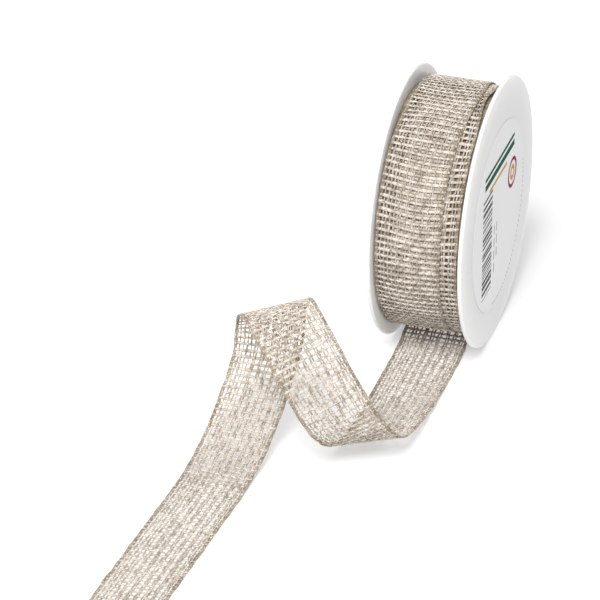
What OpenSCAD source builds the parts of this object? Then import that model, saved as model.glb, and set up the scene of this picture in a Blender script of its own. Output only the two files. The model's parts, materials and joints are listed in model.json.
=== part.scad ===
// Ribbon spool: a two-flange plastic reel wound with open-weave linen ribbon.
// The loose end leaves the bottom of the winding, makes one standing curl and runs out on the table.
// Millimetres. Origin: middle of the spindle bore. X: along the bore, towards the labelled flange. Z: up.

/* [Reel] */
// Outer diameter of both flanges
flange_d = 100; // [98:0.5:104]
// Free width between the flanges
flange_gap = 32.4; // [30:0.2:36]
// Thickness of the flat flange web
web_t = 1.7; // [1.4:0.1:2.2]
// Thickness of the flanges at their edge
edge_t = 1.3; // [0.9:0.1:1.3]
// Diameter of the spindle bore
bore_d = 20; // [14:0.5:22]
// Outer diameter of the core tube
core_d = 40; // [36:1:48]
// Wall thickness of the core tube
core_wall = 1.8; // [1.2:0.1:2.5]
// Number of stiffening ribs in each hub half
rib_count = 6; // [3:1:8]

/* [Label] */
// Diameter of the round paper label
label_d = 71.2; // [50:0.2:78]
// Thickness of the label paper
label_t = 0.12; // [0.08:0.01:0.2]

/* [Ribbon] */
// Width of the ribbon from selvedge to selvedge
ribbon_w = 25; // [22:0.5:26]
// Thickness of one layer of ribbon
ribbon_t = 0.5; // [0.4:0.05:0.6]
// Outer diameter of the winding
winding_d = 91; // [86:0.5:92]
// Length of the last straight run on the table
run_out = 82; // [60:1:95]

/* [Hidden] */

$fn = 96;
flange_r = flange_d / 2;
bore_r = bore_d / 2;
core_r = core_d / 2;
face_x = flange_gap / 2;       // inner face of a flange
shoulder_w = 7;                // width of the soft shoulder between web and edge
shoulder_steps = 7;
edge_round = 0.35;             // rounding of the flange's edge
spindle_wall = 2.4;            // wall of the spindle tube in a hub half
spigot_wall = 1.6;             // wall of the collar inside the core tube
spigot_l = 7;                  // how far that collar reaches into the core tube
fit_gap = 0.05;                // radial gap between collar and core tube
step_l = 3;                    // overlap of the stepped joint between the hub halves
rib_t = 1.2;                   // thickness of a hub rib
rib_l = 9;                     // how far a hub rib reaches in from its flange
tape_t = 0.08;                 // adhesive tape that holds the ribbon's inner end
tape_w = 18;
tape_sweep = 50;               // degrees of the core that the tape covers
label_drop = 1.3;              // how far the label sits below the bore's middle
top_turn_x = -1.3;             // middle of the outermost turn, which lies nearer the left flange
tail_gap = 0.1;                // air between the winding and the ribbon that leaves it

// Turns a profile drawn as [radius, x] about the spool's axis, which is X.
module turned(sweep = 360) {
    rotate([0, 90, 0]) rotate_extrude(angle = sweep, $fn = 180) children();
}

// Half cross-section of a flange, for x > 0: flat web, soft shoulder, rounded edge and collar.
module flange_profile() {
    edge_r = flange_r - edge_round;
    polygon(concat(
        [[bore_r, face_x], [edge_r, face_x]],
        [for (i = [0 : shoulder_steps]) let (t = 1 - i / shoulder_steps)
            [edge_r - shoulder_w * (1 - t), face_x + web_t - (web_t - edge_t) * t * t]],
        [[bore_r, face_x + web_t]]));
    for (x = [face_x + edge_round, face_x + edge_t - edge_round])
        translate([edge_r, x]) circle(r = edge_round, $fn = 32);
    translate([edge_r, face_x + edge_round]) square([edge_round, edge_t - 2 * edge_round]);
    translate([core_r - core_wall - fit_gap - spigot_wall, face_x - spigot_l])
        square([spigot_wall, spigot_l + web_t / 2]);
}

// Ribs between the spindle tube and the collar of one hub half.
module hub_ribs() {
    inner = bore_r + spindle_wall / 2;
    outer = core_r - core_wall - fit_gap - spigot_wall / 2;
    for (i = [0 : rib_count - 1])
        rotate([i * 360 / rib_count, 0, 0])
            translate([face_x - rib_l, -rib_t / 2, inner])
                cube([rib_l + web_t / 2, rib_t, outer - inner]);
}

// Labelled flange: its spindle tube ends in a thin inner sleeve.
module flange_right() {
    color("white") union() {
        turned() {
            flange_profile();
            translate([bore_r, 0]) square([spindle_wall / 2, face_x + web_t / 2]);
            translate([bore_r, step_l]) square([spindle_wall, face_x + web_t / 2 - step_l]);
        }
        hub_ribs();
    }
}

// Plain flange: its spindle tube ends in a socket that closes over the other half's sleeve.
module flange_left() {
    color("white") mirror([1, 0, 0]) union() {
        turned() {
            flange_profile();
            translate([bore_r, 0]) square([spindle_wall, face_x + web_t / 2]);
            translate([bore_r + spindle_wall / 2, -step_l])
                square([spindle_wall / 2, step_l + web_t]);
        }
        hub_ribs();
    }
}

// Core tube that the ribbon is wound on, held between the flanges on their collars.
module core_tube() {
    color("whitesmoke") turned()
        translate([core_r - core_wall, -face_x]) square([core_wall, flange_gap]);
}

// Round paper label on the web of the right flange; it closes the bore at that end.
module label() {
    color("gainsboro") translate([0, 0, -label_drop]) turned()
        translate([0, face_x + web_t]) square([label_d / 2, label_t]);
}

// Strip of adhesive tape between the core tube and the ribbon's inner end.
module starter_tape() {
    color("lightyellow") turned(tape_sweep)
        translate([core_r, -tape_w / 2]) square([tape_t, tape_w]);
}

// All turns of ribbon under the outermost one.
module ribbon_winding() {
    color("tan") turned()
        translate([core_r + tape_t, -face_x])
            square([winding_d / 2 - ribbon_t - core_r - tape_t, flange_gap]);
}

// Outermost turn, which lies nearer the left flange and leaves the turns below bare at its right.
module ribbon_top_turn() {
    color("burlywood") turned()
        translate([winding_d / 2 - ribbon_t, top_turn_x - ribbon_w / 2])
            square([ribbon_t, ribbon_w]);
}

// The loose ribbon is a flat strip folded along a row of slanted creases, so it keeps its width.
// A stretch is [length, turn, slant of its first crease, slant of its last crease, creases]:
// a positive turn curls the ribbon up, and a slant is counted from straight across the ribbon.
table_z = ribbon_t / 2 - flange_r;
leave_z = -winding_d / 2 - tail_gap - ribbon_t / 2;
leave_yaw = 0.6;               // degrees by which the ribbon leaves the reel askew
dip_r = 50;                    // radius of the two bends that bring the ribbon down to the table
dip_turn = acos(1 - (leave_z - table_z) / (2 * dip_r));
dip_l = dip_r * dip_turn * PI / 180;
landing_r = 90;                // radius of the bend that lays the ribbon down after the curl
landing_creases = 12;

lead_stretches = [
    [dip_l, -dip_turn, 0, 0, 6],
    [dip_l, dip_turn, 0, 0, 6],
    [21.5, 0, 0, 0, 1]
];
curl_stretches = [
    [46, 19, -60, -18, 12],    // rises from the table, right edge first
    [20, 38, -18, -27, 8],     // turns upright
    [31, 64, -27, -6, 12],     // leans back
    [60, 126, -6, -26, 20],    // rolls over the top
    [16, 82, -26, -11, 10]     // tucks under and heads for the table
];

// Rotates v about the unit axis k.
function spun(v, k, angle) =
    v * cos(angle) + cross(k, v) * sin(angle) + k * (v * k) * (1 - cos(angle));

// A frame is [point, along, up]; these three move it on, crease it and read its crease line.
function ahead(f, d) = [f[0] + f[1] * d, f[1], f[2]];
function crease_dir(f, slant) = cross(f[2], f[1]) * cos(slant) + f[1] * sin(slant);
function creased(f, slant, turn) =
    let (k = crease_dir(f, slant)) [f[0], spun(f[1], k, -turn), spun(f[2], k, -turn)];

// One row per crease: [slant, turn, distance from the crease before].
function steps_of(stretches) = [
    for (s = stretches, i = [0 : s[4] - 1])
        [s[2] + (s[3] - s[2]) * (i + 0.5) / s[4], s[1] / s[4], s[0] / s[4]]
];

// Frames at the creases, each halfway through its turn, and last the frame after the stretches.
function frames_along(start, steps) = [
    for (i = 0, f = start; i <= len(steps);
         f = i < len(steps)
             ? ahead(creased(ahead(f, steps[i][2] / 2), steps[i][0], steps[i][1]), steps[i][2] / 2)
             : f,
         i = i + 1)
        i == len(steps)
            ? f
            : creased(ahead(f, steps[i][2] / 2), steps[i][0], steps[i][1] / 2)
];
function last(list) = list[len(list) - 1];

// Crease lines as [left edge, right edge, up], for one run of steps from one starting frame.
function crease_lines(start, steps) = let (fs = frames_along(start, steps)) [
    for (i = [0 : len(steps) - 1])
        if (steps[i][1] != 0)
            let (half = crease_dir(fs[i], steps[i][0]) * ribbon_w / 2 / cos(steps[i][0]))
            [fs[i][0] - half, fs[i][0] + half, fs[i][2]]
];
function square_end(f) =
    let (half = cross(f[2], f[1]) * ribbon_w / 2) [f[0] - half, f[0] + half, f[2]];

// The landing bends about a level line in the ribbon's plane until the ribbon lies flat.
leave_frame = [[top_turn_x, 0, leave_z], [sin(leave_yaw), -cos(leave_yaw), 0], [0, 0, 1]];
lead_steps = steps_of(lead_stretches);
curl_start = last(frames_along(leave_frame, lead_steps));
curl_steps = steps_of(curl_stretches);
curl_end = last(frames_along(curl_start, curl_steps));
level_line = let (k = cross([0, 0, 1], curl_end[2])) k / norm(k);
landing_turn = acos(curl_end[2][2]);
landing_slant = atan(level_line * curl_end[1] / (level_line * cross(curl_end[2], curl_end[1])));
landing_l = landing_r * landing_turn * PI / 180 / cos(landing_slant);
landing_steps = steps_of([[landing_l, landing_turn, landing_slant, landing_slant, landing_creases]]);
trial_end = last(frames_along(curl_end, landing_steps));
slope_l = (trial_end[0][2] - table_z) / -curl_end[1][2];
landing_start = ahead(curl_end, slope_l);
landed = last(frames_along(landing_start, landing_steps));

lead_lines = concat([square_end(leave_frame)], crease_lines(leave_frame, lead_steps));
curl_lines = crease_lines(curl_start, curl_steps);
end_lines = concat(crease_lines(landing_start, landing_steps), [square_end(ahead(landed, run_out))]);

// Closed solid of ribbon between crease lines.
module ribbon_strip(lines) {
    points = [
        for (c = lines)
            each [c[0] - c[2] * ribbon_t / 2, c[1] - c[2] * ribbon_t / 2,
                  c[1] + c[2] * ribbon_t / 2, c[0] + c[2] * ribbon_t / 2]
    ];
    n = len(lines);
    sides = [
        for (i = [0 : n - 2], j = [0 : 3])
            let (a = 4 * i + j, b = 4 * i + (j + 1) % 4)
            each [[a, b, b + 4], [a, b + 4, a + 4]]
    ];
    polyhedron(points, concat([[3, 2, 1], [3, 1, 0]], sides,
               [[4 * n - 4, 4 * n - 3, 4 * n - 2], [4 * n - 4, 4 * n - 2, 4 * n - 1]]));
}

// Ribbon from the winding down to the table and along it.
module ribbon_tail_lead() {
    color("tan") ribbon_strip(concat(lead_lines, [curl_lines[0]]));
}

// The standing curl.
module ribbon_tail_curl() {
    color("burlywood") ribbon_strip(concat(curl_lines, [end_lines[0]]));
}

// The landing and the last run on the table.
module ribbon_tail_end() {
    color("tan") ribbon_strip(end_lines);
}

flange_left();
flange_right();
core_tube();
label();
starter_tape();
ribbon_winding();
ribbon_top_turn();
ribbon_tail_lead();
ribbon_tail_curl();
ribbon_tail_end();
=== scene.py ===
import json
import math

import bpy
import numpy as np
from mathutils import Matrix, Vector

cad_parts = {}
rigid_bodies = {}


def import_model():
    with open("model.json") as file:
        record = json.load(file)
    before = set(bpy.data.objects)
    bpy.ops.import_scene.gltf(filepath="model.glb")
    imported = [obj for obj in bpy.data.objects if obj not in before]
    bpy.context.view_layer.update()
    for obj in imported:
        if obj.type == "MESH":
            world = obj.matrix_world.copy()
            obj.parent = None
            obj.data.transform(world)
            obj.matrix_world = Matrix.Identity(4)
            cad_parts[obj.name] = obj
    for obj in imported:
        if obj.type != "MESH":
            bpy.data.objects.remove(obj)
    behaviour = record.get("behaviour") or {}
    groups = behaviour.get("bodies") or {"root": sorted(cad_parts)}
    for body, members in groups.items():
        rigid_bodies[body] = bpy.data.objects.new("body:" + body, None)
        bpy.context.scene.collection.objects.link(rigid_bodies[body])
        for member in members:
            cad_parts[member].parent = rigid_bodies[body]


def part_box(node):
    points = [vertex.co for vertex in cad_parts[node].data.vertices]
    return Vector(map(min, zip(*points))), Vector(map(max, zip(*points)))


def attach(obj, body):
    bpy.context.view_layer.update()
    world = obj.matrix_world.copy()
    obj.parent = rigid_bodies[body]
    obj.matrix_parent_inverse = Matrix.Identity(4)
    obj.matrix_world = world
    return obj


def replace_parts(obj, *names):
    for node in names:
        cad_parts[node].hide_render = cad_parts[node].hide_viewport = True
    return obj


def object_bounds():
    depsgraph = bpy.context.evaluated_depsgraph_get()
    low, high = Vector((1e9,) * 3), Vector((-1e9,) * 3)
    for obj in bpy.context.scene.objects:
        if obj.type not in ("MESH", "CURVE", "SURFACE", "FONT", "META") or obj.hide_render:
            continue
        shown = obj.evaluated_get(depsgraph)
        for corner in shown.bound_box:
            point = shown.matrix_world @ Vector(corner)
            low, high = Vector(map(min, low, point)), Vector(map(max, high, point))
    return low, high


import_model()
cad_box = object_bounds()

# Ribbon spool. Everything is in the CAD frame: X along the bore towards the labelled flange, Z up.
# The ribbon is woven here yarn by yarn, once as three wound layers and once as the loose end.
# Colours, light and the set of the wound layers were adjusted for the camera's view below.
MM = 0.001
SEED = 7

# ---------------------------------------------------------------- camera

CAMERA_AZIMUTH = math.radians(17.41)
CAMERA_ELEVATION = math.radians(29.52)
CAMERA_DISTANCE = 1.5985        # from the plane through the spool's middle
CAMERA_RIGHT = -0.05503         # how far the camera stands to the right of the spool
CAMERA_UP = -0.03454            # and above it, both across the line of sight
SENSOR_MM = 36.0
LENS_MM = 263.4


def make_camera():
    a, e = CAMERA_AZIMUTH, CAMERA_ELEVATION
    back = Vector((math.sin(a) * math.cos(e), -math.cos(a) * math.cos(e), math.sin(e)))
    right = Vector((math.cos(a), math.sin(a), 0))
    up = back.cross(right)
    data = bpy.data.cameras.new("camera")
    data.lens, data.sensor_width = LENS_MM, SENSOR_MM
    data.clip_start, data.clip_end = 0.05, 20.0
    camera = bpy.data.objects.new("camera", data)
    turn = Matrix((right, up, back)).transposed().to_4x4()
    place = back * CAMERA_DISTANCE + right * CAMERA_RIGHT + up * CAMERA_UP
    camera.matrix_world = Matrix.Translation(place) @ turn
    bpy.context.scene.collection.objects.link(camera)
    bpy.context.scene.camera = camera


make_camera()

# ---------------------------------------------------------------- sizes from the frame

TOP_LOW, TOP_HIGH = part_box("ribbon_top_turn")
WOUND_LOW, WOUND_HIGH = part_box("ribbon_winding")
LABEL_LOW, LABEL_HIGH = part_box("label")
CORE_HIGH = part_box("core_tube")[1]
RIBBON_W = TOP_HIGH.x - TOP_LOW.x
TOP_X = (TOP_HIGH.x + TOP_LOW.x) / 2
LAYER = TOP_HIGH.z - WOUND_HIGH.z           # thickness of one turn of ribbon
TOP_R = TOP_HIGH.z - LAYER / 2              # middle of the outermost turn
TABLE_Z = cad_box[0][2]
LABEL_X = LABEL_HIGH.x
LABEL_Z = (LABEL_HIGH.z + LABEL_LOW.z) / 2
LABEL_R = (LABEL_HIGH.z - LABEL_LOW.z) / 2

# ---------------------------------------------------------------- mesh and material helpers


def mesh_piece(name, points, faces, materials, smooth=True, face_slots=None):
    mesh = bpy.data.meshes.new(name)
    mesh.from_pydata([tuple(p) for p in points], [], [tuple(f) for f in faces])
    mesh.validate()
    piece = bpy.data.objects.new(name, mesh)
    bpy.context.scene.collection.objects.link(piece)
    for m in materials:
        mesh.materials.append(m)
    mesh.polygons.foreach_set("use_smooth", [smooth] * len(mesh.polygons))
    if face_slots is not None:
        mesh.polygons.foreach_set("material_index", face_slots)
    mesh.update()
    return piece


class Nodes:
    """Short words for building a material's node tree."""

    def __init__(self, name):
        self.material = bpy.data.materials.new(name)
        self.material.use_nodes = True
        self.tree = self.material.node_tree
        self.shader = self.tree.nodes["Principled BSDF"]

    def add(self, kind, inputs=None, **settings):
        node = self.tree.nodes.new(kind)
        for key, value in settings.items():
            setattr(node, key, value)
        for key, value in (inputs or {}).items():
            if isinstance(value, bpy.types.NodeSocket):
                self.tree.links.new(value, node.inputs[key])
            else:
                node.inputs[key].default_value = value
        return node

    def link(self, output, socket):
        self.tree.links.new(output, self.shader.inputs[socket])

    def constant(self, **values):
        for key, value in values.items():
            self.shader.inputs[key.replace("_", " ")].default_value = value

    def place(self):
        return self.add("ShaderNodeTexCoord").outputs["Object"]

    def noise(self, scale, detail=2.0, rough=0.5, vector=None):
        node = self.add("ShaderNodeTexNoise", {"Vector": vector or self.place(), "Scale": scale,
                                               "Detail": detail, "Roughness": rough})
        return node.outputs["Fac"]

    def ramp(self, fac, stops):
        node = self.add("ShaderNodeValToRGB", {"Fac": fac})
        ramp = node.color_ramp
        while len(ramp.elements) < len(stops):
            ramp.elements.new(0.5)
        for element, (at, colour) in zip(ramp.elements, stops):
            element.position = at
            element.color = (*colour, 1.0)
        return node.outputs["Color"]

    def bump(self, height, distance, strength=1.0):
        node = self.add("ShaderNodeBump", {"Height": height, "Distance": distance,
                                           "Strength": strength})
        self.link(node.outputs["Normal"], "Normal")


def linen(name, dark, middle, pale):
    """Flax yarn: colour drifts along the yarn and changes from fibre to fibre."""
    n = Nodes(name)
    drift = n.noise(320.0, 3.0, 0.6)
    fibre = n.noise(2600.0, 2.0, 0.6)
    mixed = n.add("ShaderNodeMath", {0: drift, 1: fibre}, operation="ADD").outputs[0]
    half = n.add("ShaderNodeMath", {0: mixed, 1: 0.5}, operation="MULTIPLY").outputs[0]
    n.link(n.ramp(half, [(0.41, dark), (0.5, middle), (0.59, pale)]), "Base Color")
    rough = n.add("ShaderNodeMapRange", {"Value": fibre, "To Min": 0.75, "To Max": 0.95})
    n.link(rough.outputs["Result"], "Roughness")
    n.constant(Sheen_Weight=0.12, Sheen_Roughness=0.5, Specular_IOR_Level=0.2,
               Subsurface_Weight=0.5, Subsurface_Scale=0.0007, Subsurface_Radius=(1.0, 0.9, 0.8))
    n.bump(fibre, 0.00012, 0.6)
    return n.material


def white_plastic(name, colour, roughness):
    """Injection-moulded polystyrene: a faint unevenness in gloss and height."""
    n = Nodes(name)
    cloud = n.noise(60.0, 3.0, 0.5)
    low = tuple(c * 0.985 for c in colour)
    n.link(n.ramp(cloud, [(0.35, low), (0.65, colour)]), "Base Color")
    grain = n.noise(900.0, 2.0, 0.5)
    rough = n.add("ShaderNodeMapRange", {"Value": grain, "To Min": roughness - 0.05,
                                         "To Max": roughness + 0.05})
    n.link(rough.outputs["Result"], "Roughness")
    n.constant(IOR=1.55, Subsurface_Weight=1.0, Subsurface_Scale=0.004,
               Subsurface_Radius=(1.0, 1.0, 1.0))
    n.bump(n.noise(220.0, 2.0, 0.5), 0.00002, 0.5)
    return n.material


def paper(name, colour):
    n = Nodes(name)
    fibre = n.noise(1800.0, 4.0, 0.6)
    low = tuple(c * 0.97 for c in colour)
    n.link(n.ramp(fibre, [(0.3, low), (0.7, colour)]), "Base Color")
    rough = n.add("ShaderNodeMapRange", {"Value": fibre, "To Min": 0.5, "To Max": 0.65})
    n.link(rough.outputs["Result"], "Roughness")
    n.bump(fibre, 0.00001, 0.5)
    return n.material


def ink(name, colour):
    n = Nodes(name)
    fleck = n.noise(2500.0, 2.0, 0.6)
    pale = tuple(0.97 * c + 0.03 * 0.7 for c in colour)
    n.link(n.ramp(fleck, [(0.45, colour), (0.75, pale)]), "Base Color")
    n.constant(Roughness=0.8, Specular_IOR_Level=0.1)
    return n.material


def core_board(name):
    n = Nodes(name)
    cloud = n.noise(400.0, 4.0, 0.6)
    n.link(n.ramp(cloud, [(0.3, (0.62, 0.60, 0.57)), (0.7, (0.75, 0.73, 0.70))]), "Base Color")
    n.constant(Roughness=0.7)
    n.bump(cloud, 0.00003, 0.5)
    return n.material


def clear_tape(name):
    n = Nodes(name)
    cloud = n.noise(150.0, 2.0, 0.5)
    n.link(n.ramp(cloud, [(0.3, (0.70, 0.64, 0.45)), (0.7, (0.80, 0.74, 0.56))]), "Base Color")
    n.constant(Roughness=0.3)
    n.bump(cloud, 0.00001, 0.5)
    return n.material


# The warp is the same flax as the weft, painted darker: painted shade for the dark lines along the
# warps and in the creases between yarns; the weft keeps the paler, lit tone.
SHADED_WARP_YARN = linen("linen_warp_painted_shade", (0.24, 0.20, 0.16), (0.40, 0.35, 0.295), (0.58, 0.525, 0.465))
WEFT_YARN = linen("linen_weft", (0.38, 0.325, 0.27), (0.53, 0.465, 0.395), (0.66, 0.60, 0.53))
# The selvedge flax is painted darker than the cloth: painted shade for the shadow the selvedges lie
# in.
EDGE_YARN_PAINTED_SHADE = linen("linen_edge_painted_shade", (0.19, 0.145, 0.10), (0.31, 0.255, 0.19), (0.45, 0.39, 0.31))
# A near-black flax for the drum under the wound turns: painted shade for the dark depth of the
# winding seen through the holes.
DEEP_SHADE_YARN = linen("linen_inner_painted_shade", (0.12, 0.09, 0.06), (0.22, 0.18, 0.13), (0.32, 0.26, 0.20))
PLASTIC = white_plastic("reel_plastic", (0.715, 0.715, 0.71), 0.45)
CORE = core_board("core_plastic")
PAPER = paper("label_paper", (0.755, 0.755, 0.755))
TAPE = clear_tape("tape")

# ---------------------------------------------------------------- surfaces the ribbon follows


def unit(v):
    return v / np.linalg.norm(v, axis=-1, keepdims=True)


NARROWED = 0.968                # width of the wound turns over that of the flat ribbon


class WoundTurn:
    """One closed turn of ribbon round the reel. s runs round it from the bottom, u across it."""

    closed = True

    def __init__(self, radius, middle_x, stray, soon, slack):
        self.radius, self.middle_x = radius, middle_x
        self.stray = stray          # how far it strays sideways at the top
        self.soon = soon            # the larger, the sooner it strays back
        self.slack = slack          # how far it stands off at the top
        self.length = 2 * math.pi * radius

    def place(self, u):
        return self.middle_x + u * NARROWED

    def at(self, s, u):
        """Points, directions along the ribbon, and outward directions."""
        angle = s / self.radius
        flat = np.zeros_like(angle)
        out = np.stack([flat, -np.sin(angle), -np.cos(angle)], -1)
        along = np.stack([flat, -np.cos(angle), np.sin(angle)], -1)
        stands_off = self.slack * np.sin(angle / 2) ** 4
        point = out * (self.radius + stands_off)[..., None]
        point[..., 0] = self.place(u) + self.stray * np.maximum(0, -np.cos(angle)) ** self.soon
        return point, along, out


def spun(v, axis, angle):
    c, s = math.cos(angle), math.sin(angle)
    return v * c + np.cross(axis, v) * s + axis * np.dot(axis, v) * (1 - c)


# The loose end is a flat strip folded along slanted creases. A stretch is (length in mm, turn,
# slant of its first crease, slant of its last); angles are in degrees and a positive turn curls up.
LEAVE_Z = -45.85 * MM           # where the ribbon's middle leaves the reel
LEAVE_YAW = math.radians(0.6)
DIP_R = 50 * MM                 # the two bends that bring it down to the table
LEAD_RUN = 21.5
CURL = [(46, 19, -60, -18), (20, 38, -18, -27), (31, 64, -27, -6), (60, 126, -6, -26),
        (16, 82, -26, -11)]
LANDING_R = 90 * MM
RUN_OUT = 82 * MM
CREASE_STEP = 0.9 * MM          # about how far apart the creases lie


class LooseEnd:
    """The ribbon from the winding to its cut end, as crease lines on a flat strip."""

    closed = False

    def __init__(self):
        self.middle_z = TABLE_Z + LAYER / 2
        self.rows = []              # (s, slant, point, across per unit of u, up)
        self.point = np.array([TOP_X, 0.0, LEAVE_Z])
        self.along = np.array([math.sin(LEAVE_YAW), -math.cos(LEAVE_YAW), 0.0])
        self.up = np.array([0.0, 0.0, 1.0])
        self.s = 0.0
        self.mark(0.0)
        dip = math.degrees(math.acos(1 - (LEAVE_Z - self.middle_z) / (2 * DIP_R)))
        dip_l = DIP_R * math.radians(dip) / MM
        for stretch in [(dip_l, -dip, 0, 0), (dip_l, dip, 0, 0), (LEAD_RUN, 0, 0, 0)] + CURL:
            self.bend(*stretch)
        self.land()
        self.forward(RUN_OUT)
        self.mark(0.0)
        self.length = self.s
        self.arrange()

    def place(self, u):
        return u

    def mark(self, slant):
        across = np.cross(self.up, self.along)
        rule = across + self.along * math.tan(slant)
        self.rows.append((self.s, math.tan(slant), self.point.copy(), rule, self.up.copy()))

    def forward(self, distance):
        self.point = self.point + self.along * distance
        self.s += distance

    def crease(self, slant, turn):
        """Half the turn, the crease line, then the other half."""
        for half in (0, 1):
            across = np.cross(self.up, self.along)
            axis = across * math.cos(slant) + self.along * math.sin(slant)
            self.along = spun(self.along, axis, -turn / 2)
            self.up = spun(self.up, axis, -turn / 2)
            if half == 0:
                self.mark(slant)

    def bend(self, length, turn, slant0, slant1):
        count = max(1, round(length * MM / CREASE_STEP))
        for i in range(count):
            slant = math.radians(slant0 + (slant1 - slant0) * (i + 0.5) / count)
            self.forward(length * MM / count / 2)
            if turn:
                self.crease(slant, math.radians(turn) / count)
            self.forward(length * MM / count / 2)

    def land(self):
        """Straight down the slope, then a bend about a level line that lays the ribbon flat."""
        level = unit(np.cross([0.0, 0.0, 1.0], self.up))
        across = np.cross(self.up, self.along)
        turn = math.acos(self.up[2])
        slant = math.atan(np.dot(level, self.along) / np.dot(level, across))
        length = LANDING_R * turn / math.cos(slant) / MM
        start = (self.point, self.along, self.up, self.s, len(self.rows))
        self.bend(length, math.degrees(turn), math.degrees(slant), math.degrees(slant))
        spare = self.point[2] - self.middle_z
        self.point, self.along, self.up, self.s = start[:4]
        del self.rows[start[4]:]
        self.forward(spare / -self.along[2])
        self.bend(length, math.degrees(turn), math.degrees(slant), math.degrees(slant))

    def arrange(self):
        self.at_s = np.array([r[0] for r in self.rows])
        self.lean = np.array([r[1] for r in self.rows])
        self.middle = np.array([r[2] for r in self.rows])
        self.rule = np.array([r[3] for r in self.rows])
        self.normal = np.array([r[4] for r in self.rows])

    def at(self, s, u):
        """Points, directions along the ribbon, and upward directions, for one u."""
        crossing = np.maximum.accumulate(self.at_s + self.lean * u)
        line = self.middle + self.rule * u
        point = np.stack([np.interp(s, crossing, line[:, k]) for k in range(3)], -1)
        up = unit(np.stack([np.interp(s, crossing, self.normal[:, k]) for k in range(3)], -1))
        step = 0.2 * MM
        ahead = np.stack([np.interp(s + step, crossing, line[:, k]) for k in range(3)], -1)
        behind = np.stack([np.interp(s - step, crossing, line[:, k]) for k in range(3)], -1)
        return point, unit(ahead - behind), up


# ---------------------------------------------------------------- weaving

WEFT_PITCH = 2.4 * MM
WARP_U = np.array([-10.2, -8.8, -7.4, -6.0, -4.4, -3.5, -1.7, -0.8, 1.1, 2.0, 3.9, 4.8, 6.7, 7.6,
                   9.3, 10.3]) * MM
EDGE_U = np.array([-12.2, -11.75, -11.3, 11.3, 11.75, 12.2]) * MM   # yarns of both selvedges
WARP_HALF = (0.32 * MM, 0.19 * MM)      # half width and half height of a yarn
WEFT_HALF = (0.43 * MM, 0.20 * MM)
EDGE_HALF = (0.20 * MM, 0.20 * MM)
WHIP_HALF = 0.11 * MM                   # yarn whipped round a selvedge
WHIP_WIDE = 0.62 * MM
WHIP_PITCH = 1.2 * MM
WHIP_RINGS = 8
LOOSE, PRESSED = (1.0, 1.3), (0.88, 1.38)    # how much wider warps and wefts are pressed
WAVE = 0.18 * MM                        # how far the yarns rise and dip over each other
WARP_STEP = 0.6 * MM
WEFT_STEPS = 50
SIDES = 5
FUZZ_AT_EDGE = 0.35                     # share of the fibre ends that stand off the selvedges
FUZZ_HALF, FUZZ_TIP = 0.028 * MM, 0.01 * MM


def ripple(rng, s, u, length, reach, across, size, waves=7):
    """A smooth random field over s and u that closes on itself after length."""
    total = np.zeros(np.broadcast(s, u).shape)
    for _ in range(waves):
        turns = rng.integers(1, max(2, round(length / reach)) + 1)
        lean = rng.uniform(-1, 1) * 2 * math.pi / across
        total = total + np.sin(2 * math.pi * turns * s / length + lean * u
                               + rng.uniform(0, 2 * math.pi))
    return total * size / math.sqrt(waves / 2)


def slubs(rng, yarns, rings, run, spread):
    """Thickness along each yarn: 1 on average, thicker and thinner over a few rings."""
    knots = max(2, rings // run)
    raw = rng.normal(0, 1, (yarns, knots))
    at = np.linspace(0, knots - 1, rings)
    smooth = np.stack([np.interp(at, np.arange(knots), row) for row in raw])
    fine = rng.normal(0, 0.35, (yarns, rings))
    return np.clip(1 + spread * (smooth + fine), 0.6, 1.9)


def tubes(centre, side, up, half_side, half_up, closed, sides=SIDES):
    """Points and faces of one tube for each row of centre; arrays are (yarn, ring, xyz)."""
    yarns, rings = centre.shape[:2]
    angle = np.arange(sides) * 2 * math.pi / sides
    c, s = np.cos(angle)[None, None, :, None], np.sin(angle)[None, None, :, None]
    points = (centre[:, :, None] + side[:, :, None] * half_side[:, :, None, None] * c
              + up[:, :, None] * half_up[:, :, None, None] * s)
    count = rings if closed else rings - 1
    ring, k = np.meshgrid(np.arange(count), np.arange(sides), indexing="ij")
    nxt, k2 = (ring + 1) % rings, (k + 1) % sides
    one = np.stack([ring * sides + k, nxt * sides + k, nxt * sides + k2, ring * sides + k2], -1)
    base = (np.arange(yarns) * rings * sides)[:, None, None]
    quads = (one.reshape(1, -1, 4) + base).reshape(-1, 4)
    faces = quads.tolist()
    if not closed:
        for y in range(yarns):
            first = y * rings * sides
            last = first + (rings - 1) * sides
            faces.append([first + k for k in range(sides)])
            faces.append([last + k for k in reversed(range(sides))])
    return points.reshape(-1, 3), faces


def joined(*parts):
    """Several (points, faces) as one."""
    points, faces, base = [], [], 0
    for p, f in parts:
        points.append(p)
        faces += [[i + base for i in face] for face in f]
        base += len(p)
    return np.concatenate(points), faces


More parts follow.
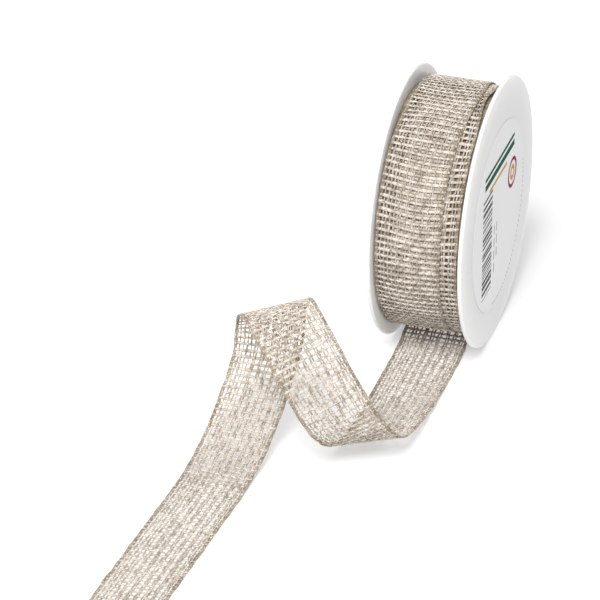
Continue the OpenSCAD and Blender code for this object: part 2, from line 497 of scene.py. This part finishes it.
class Weave:
    """The yarns of one stretch of ribbon, laid on a surface.

    slip moves the wefts at the top of a wound turn along the ribbon. sag is how far the rows of
    wefts wander, bow how far they droop in the middle, lift how far the cloth stands off its
    surface, wide how much the yarns are pressed flat.
    """

    def __init__(self, surface, seed, sag_seed, picks, sag, slip=0.0, lift=0.0, bow=0.0,
                 wide=LOOSE):
        self.surface, self.closed = surface, surface.closed
        self.rng = np.random.default_rng(seed)
        self.seed, self.sag_seed = seed, sag_seed
        self.length, self.picks = surface.length, picks
        self.pitch = surface.length / picks
        self.slip, self.lift = slip, lift
        self.sag, self.bow, self.wide = sag, bow, wide
        self.s = self.spread(round(self.length / WARP_STEP))

    def spread(self, rings):
        if self.closed:
            return np.arange(rings) * self.length / rings
        return np.linspace(0, self.length, rings)

    def drift(self, s, u):
        """How far the wefts are off their even rows."""
        across = self.surface.place(u)
        wander = ripple(np.random.default_rng(self.sag_seed), s, across, self.length, 28 * MM,
                        34 * MM, self.sag)
        front = np.sin(math.pi * (s / self.length + 0.3)) ** 2
        droop = self.bow * front * np.cos(math.pi * across / RIBBON_W)
        return wander - droop + self.slip * np.sin(math.pi * s / self.length) ** 4

    def sideways(self, s, u):
        return ripple(np.random.default_rng(self.seed + 1), s, u, self.length, 9 * MM, 3 * MM,
                      0.12 * MM)

    def lengthwise(self, u_list, half, wave, spread):
        rings = len(self.s)
        centre, side, up = (np.zeros((len(u_list), rings, 3)) for _ in range(3))
        for j, u in enumerate(u_list):
            point, along, normal = self.surface.at(self.s, u)
            across = np.cross(normal, along)
            turn = math.pi * ((self.s - self.drift(self.s, u)) / self.pitch + j)
            height = wave * np.cos(turn) + self.lift
            centre[j] = (point + normal * height[:, None]
                         + across * self.sideways(self.s, u)[:, None])
            side[j], up[j] = across, normal
        thick = slubs(self.rng, len(u_list), rings, 6, spread)
        return tubes(centre, side, up, thick * half[0] * self.wide[0], thick * half[1], self.closed)

    def crosswise(self):
        start = (np.arange(self.picks) if self.closed else np.arange(1, self.picks)) * self.pitch
        number = np.arange(len(start)) + (0 if self.closed else 1)
        start = start + self.rng.normal(0, 0.07 * MM, len(start))
        edge = EDGE_U[-1] + EDGE_HALF[0] * 0.5
        u_across = np.linspace(-edge, edge, WEFT_STEPS)
        u_yarns = np.concatenate([EDGE_U[:3], WARP_U, EDGE_U[3:]])
        phase = np.interp(u_across, u_yarns, np.arange(-3, len(WARP_U) + 3))
        centre, side, up = (np.zeros((len(start), WEFT_STEPS, 3)) for _ in range(3))
        for i, u in enumerate(u_across):
            where = start + self.drift(start, u)
            if not self.closed:
                where = np.clip(where, 0.3 * MM, self.length - 0.3 * MM)
            point, along, normal = self.surface.at(where, u)
            height = self.lift - WAVE * np.cos(math.pi * (number + phase[i]))
            centre[:, i] = point + normal * height[:, None]
            side[:, i], up[:, i] = along, normal
        thick = slubs(self.rng, len(start), WEFT_STEPS, 5, 0.17)
        return tubes(centre, side, up, thick * WEFT_HALF[0] * self.wide[1], thick * WEFT_HALF[1],
                     False)

    def cloth(self, fibres):
        """Points and faces, and each face's yarn: 0 along the ribbon, 1 across it."""
        along = self.lengthwise(WARP_U, WARP_HALF, WAVE, 0.26)
        across = joined(self.crosswise(), self.fuzz(fibres)) if fibres else self.crosswise()
        return (*joined(along, across), [0] * len(along[1]) + [1] * len(across[1]))

    def whipping(self, middle):
        """Thin yarn wound round one selvedge."""
        turns = round(self.length / WHIP_PITCH)
        s = self.spread(turns * WHIP_RINGS)
        angle = 2 * math.pi * turns * s / self.length
        point, along, normal = self.surface.at(s, middle)
        across = np.cross(normal, along)
        uneven = 1 + ripple(self.rng, s, middle, self.length, 5 * MM, 1 * MM, 0.12)
        outward_a, outward_n = np.cos(angle) * uneven, np.sin(angle) * uneven
        centre = (point + across * (WHIP_WIDE * outward_a)[:, None]
                  + normal * (0.26 * MM * outward_n + self.lift)[:, None])
        out = unit(across * outward_a[:, None] + normal * outward_n[:, None])
        half = np.full((1, len(s)), WHIP_HALF)
        return tubes(centre[None], along[None], out[None], half * 1.3, half, self.closed, 4)

    def fuzz(self, count):
        """Loose fibre ends that stand off the yarns and the selvedges."""
        rng, rings = self.rng, 4
        s = rng.uniform(1 * MM, self.length - 1 * MM, count)
        u = rng.uniform(EDGE_U[0], EDGE_U[-1], count)
        at_edge = rng.random(count) < FUZZ_AT_EDGE
        u[at_edge] = np.sign(u[at_edge]) * EDGE_U[-1]
        long = rng.uniform(0.5, 1.7, count) * MM
        heading = rng.uniform(0, 2 * math.pi, count)
        heading[at_edge] = np.where(u[at_edge] > 0, 0, math.pi) + rng.normal(0, 0.7, at_edge.sum())
        rise, bend = rng.uniform(0.1, 0.7, count), rng.normal(0, 0.5, count)
        centre, side, up = (np.zeros((count, rings, 3)) for _ in range(3))
        for i in range(count):
            point, along, normal = self.surface.at(s[i:i + 1], u[i])
            across = np.cross(normal, along)
            for k in range(rings):
                t = k / (rings - 1)
                way = heading[i] + bend[i] * t
                lie = across * math.cos(way) + along * math.sin(way)
                lifted = normal * (self.lift + 0.15 * MM + rise[i] * long[i] * t * (1 - 0.5 * t))
                centre[i, k] = (point + lie * long[i] * t + lifted)[0]
                side[i, k] = unit(np.cross(lie, normal))[0]
                up[i, k] = normal[0]
        half = np.full((count, rings), FUZZ_HALF)
        half[:, -1] = FUZZ_TIP
        return tubes(centre, side, up, half, half, False, 3)

    def selvedges(self):
        edges = self.lengthwise(EDGE_U, EDGE_HALF, WAVE * 0.5, 0.12)
        return joined(edges, *[self.whipping(side * EDGE_U[4]) for side in (-1, 1)])


PICKS_ROUND = 2 * round(math.pi * TOP_R / WEFT_PITCH)   # wefts on each wound turn
WOUND_SAG, WOUND_BOW = 0.45 * MM, 0.9 * MM


def ride_linen(piece, body):
    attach(piece, body)
    return piece


def woven(name, weave, fibres):
    points, faces, slots = weave.cloth(fibres)
    return mesh_piece(name, points, faces, [SHADED_WARP_YARN, WEFT_YARN], face_slots=slots)


def wound_layer(name, depth, middle_x, stray, soon, slack, slip, fibres):
    """One woven turn, depth layers under the outermost; returns its cloth."""
    turn = WoundTurn(TOP_R - depth * LAYER, middle_x, stray, soon, slack)
    w = Weave(turn, SEED + 10 + depth, SEED, PICKS_ROUND, WOUND_SAG, slip=slip, bow=WOUND_BOW,
              wide=PRESSED)
    ride_linen(mesh_piece(name + "_selvedges", *w.selvedges(), [EDGE_YARN_PAINTED_SHADE]), "reel")
    return ride_linen(woven(name, w, fibres), "reel")


DRUM_DEPTH = 3.2                # layers between the outermost turn and the drum's skin
DRUM_RIB = 0.12 * MM
CORE_GAP = 0.08 * MM


def inner_turns():
    """The turns underneath: a closed drum whose skin has small ribs in place of a weave."""
    skin_r = TOP_R - DRUM_DEPTH * LAYER
    low_x, high_x = WOUND_LOW.x, WOUND_HIGH.x
    around, across = 360, 40
    points, faces = [], []
    for i in range(around):
        angle = 2 * math.pi * i / around
        for j in range(across + 1):
            x = low_x + (high_x - low_x) * j / across
            r = skin_r + DRUM_RIB * math.cos(math.pi * i) * math.cos(math.pi * j)
            points.append((x, r * math.cos(angle), r * math.sin(angle)))
    for i in range(around):
        angle = 2 * math.pi * i / around
        for x in (low_x, high_x):
            r = CORE_HIGH.z + CORE_GAP
            points.append((x, r * math.cos(angle), r * math.sin(angle)))
    inner = around * (across + 1)
    for i in range(around):
        a, b = i * (across + 1), (i + 1) % around * (across + 1)
        for j in range(across):
            faces.append((a + j, a + j + 1, b + j + 1, b + j))
        ia, ib = inner + 2 * i, inner + 2 * ((i + 1) % around)
        faces.append((a, b, ib, ia))
        faces.append((a + across, ia + 1, ib + 1, b + across))
        faces.append((ia, ib, ib + 1, ia + 1))
    # The drum's near-black colour is painted shade, not a darker ribbon.
    return ride_linen(mesh_piece("inner_turns", points, faces, [DEEP_SHADE_YARN]), "reel")


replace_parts(inner_turns(), "ribbon_winding")
top_turn = wound_layer("wound_turn_top", 0, middle_x=TOP_X - 2.3 * MM, stray=2.3 * MM, soon=8,
                       slack=1.0 * MM, slip=0.0, fibres=900)
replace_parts(top_turn, "ribbon_top_turn")
wound_layer("wound_turn_second", 1, middle_x=2.5 * MM, stray=-1.8 * MM, soon=24,
            slack=0.7 * MM, slip=1.9 * MM, fibres=300)
wound_layer("wound_turn_third", 2, middle_x=-2.0 * MM, stray=0.0, soon=8,
            slack=0.5 * MM, slip=-0.5 * MM, fibres=0)

# ---------------------------------------------------------------- loose end

LOOSE_FIBRES = 1000
LOOSE_SAG, LOOSE_LIFT = 0.35 * MM, 0.16 * MM

loose = LooseEnd()
loose_weave = Weave(loose, SEED, SEED + 5, round(loose.length / WEFT_PITCH), LOOSE_SAG,
                    lift=LOOSE_LIFT)
loose_selvedges = mesh_piece("loose_ribbon_selvedges", *loose_weave.selvedges(), [EDGE_YARN_PAINTED_SHADE])
loose_cloth = woven("loose_ribbon_weave", loose_weave, LOOSE_FIBRES)
ride_linen(loose_selvedges, "loose_ribbon")
ride_linen(loose_cloth, "loose_ribbon")
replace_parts(loose_cloth, "ribbon_tail_lead", "ribbon_tail_curl", "ribbon_tail_end")

# ---------------------------------------------------------------- reel, core, label and tape


def paint(node, material):
    for o in bpy.data.objects:
        if o.type == "MESH" and o.name.split(".")[0] == node:
            o.data.materials.clear()
            o.data.materials.append(material)


for node, material in {"flange_left": PLASTIC, "flange_right": PLASTIC, "core_tube": CORE,
                       "label": PAPER, "starter_tape": TAPE}.items():
    paint(node, material)

INKS = [ink("ink_green", (0.003, 0.085, 0.048)), ink("ink_ochre", (0.55, 0.27, 0.02)),
        ink("ink_black", (0.06, 0.06, 0.065)), ink("ink_grey", (0.33, 0.33, 0.34)),
        ink("ink_red", (0.25, 0.02, 0.05))]
GREEN, OCHRE, BLACK, GREY, RED = range(5)
INK_T = 0.03 * MM
STRIPES_TOP, STRIPES_FOOT = 13.5, -26.5     # where the bar code's stripes start and end, in mm


class Print:
    """Flat printed shapes on the label, in mm on its face: y to the right, z up."""

    def __init__(self):
        self.points, self.faces, self.slots = [], [], []

    def outline(self, corners, slot):
        base, n = len(self.points), len(corners)
        for x in (LABEL_X - INK_T / 2, LABEL_X + INK_T / 2):
            self.points += [(x, y * MM, z * MM) for y, z in corners]
        self.faces.append([base + n + i for i in range(n)])
        self.faces.append([base + i for i in reversed(range(n))])
        self.faces += [[base + i, base + (i + 1) % n, base + n + (i + 1) % n, base + n + i]
                       for i in range(n)]
        self.slots += [slot] * (n + 2)

    def bar(self, y, z, width, height, slot):
        self.outline([(y, z), (y + width, z), (y + width, z + height), (y, z + height)], slot)

    def arc(self, y, z, radius, thick, start, end, slot, steps=16):
        angles = [math.radians(start + (end - start) * i / steps) for i in range(steps + 1)]
        for a, b in zip(angles, angles[1:]):
            self.outline([(y + r * math.cos(t), z + r * math.sin(t)) for r, t in
                          ((radius, a), (radius + thick, a), (radius + thick, b), (radius, b))],
                         slot)


def label_print():
    p = Print()
    rng = np.random.default_rng(SEED + 3)
    p.bar(-20, 18.0, 40, 2.4, GREEN)
    p.bar(-20, 21.6, 40, 1.4, GREEN)
    p.bar(-14, 14.8, 24, 1.2, OCHRE)
    p.arc(18, 7.5, 4.6, 1.4, 0, 360, RED, 32)
    p.arc(18, 7.5, 1.4, 1.6, 0, 360, OCHRE, 24)
    z = STRIPES_TOP
    while z > STRIPES_FOOT:
        height = rng.choice([0.35, 0.6, 0.9])
        p.bar(-22, z, 12.5, height, BLACK)
        z -= height + rng.choice([0.4, 0.6, 0.9])
    for y, marks in ((-6.4, 4), (-3.2, 3)):
        for i in range(marks):
            p.bar(y, -6 - 5.2 * i, 0.9, 3.6, GREY)
    for i in range(36):
        start = 12 - 3.2 * i
        p.arc(0, LABEL_Z / MM, LABEL_R / MM - 1.9, 0.5, start, start - 1.9, GREY, 2)
    piece = mesh_piece("label_print", p.points, p.faces, INKS, smooth=False, face_slots=p.slots)
    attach(piece, "reel")


label_print()

# ---------------------------------------------------------------- floor and light

WORLD = 0.57                    # brightness of the soft light from all round
FLOOR_GLOW = 0.40               # the floor is a lit white table, so it stays white round the spool
FLOOR_WHITE = 0.54
FLOOR_HALF = 4.0


def make_floor():
    h = FLOOR_HALF
    corners = [(-h, -h, TABLE_Z), (h, -h, TABLE_Z), (h, h, TABLE_Z), (-h, h, TABLE_Z)]
    n = Nodes("floor")
    n.constant(Base_Color=(FLOOR_WHITE, FLOOR_WHITE, FLOOR_WHITE, 1.0), Roughness=1.0,
               Specular_IOR_Level=0.0, Emission_Color=(1.0, 1.0, 1.0, 1.0),
               Emission_Strength=FLOOR_GLOW)
    floor = mesh_piece("floor", corners, [(0, 1, 2, 3)], [n.material], smooth=False)


def soft_box(name, azimuth, elevation, distance, width, power):
    """A round soft light aimed at the spool; azimuth 0 is in front of it."""
    a, e = math.radians(azimuth), math.radians(elevation)
    away = Vector((math.sin(a) * math.cos(e), -math.cos(a) * math.cos(e), math.sin(e)))
    data = bpy.data.lights.new(name, "AREA")
    data.shape = "DISK"
    data.size, data.energy = width, power
    light = bpy.data.objects.new(name, data)
    light.location = away * distance
    light.rotation_euler = away.to_track_quat("Z", "Y").to_euler()
    bpy.context.scene.collection.objects.link(light)


def world_light(strength):
    world = bpy.data.worlds.new("studio")
    world.use_nodes = True
    back = world.node_tree.nodes["Background"]
    back.inputs["Color"].default_value = (1.0, 1.0, 1.0, 1.0)
    back.inputs["Strength"].default_value = strength
    bpy.context.scene.world = world


make_floor()
world_light(WORLD)
soft_box("key", azimuth=2, elevation=50, distance=2.6, width=1.1, power=84.0)
bpy.context.scene.view_settings.view_transform = "Standard"
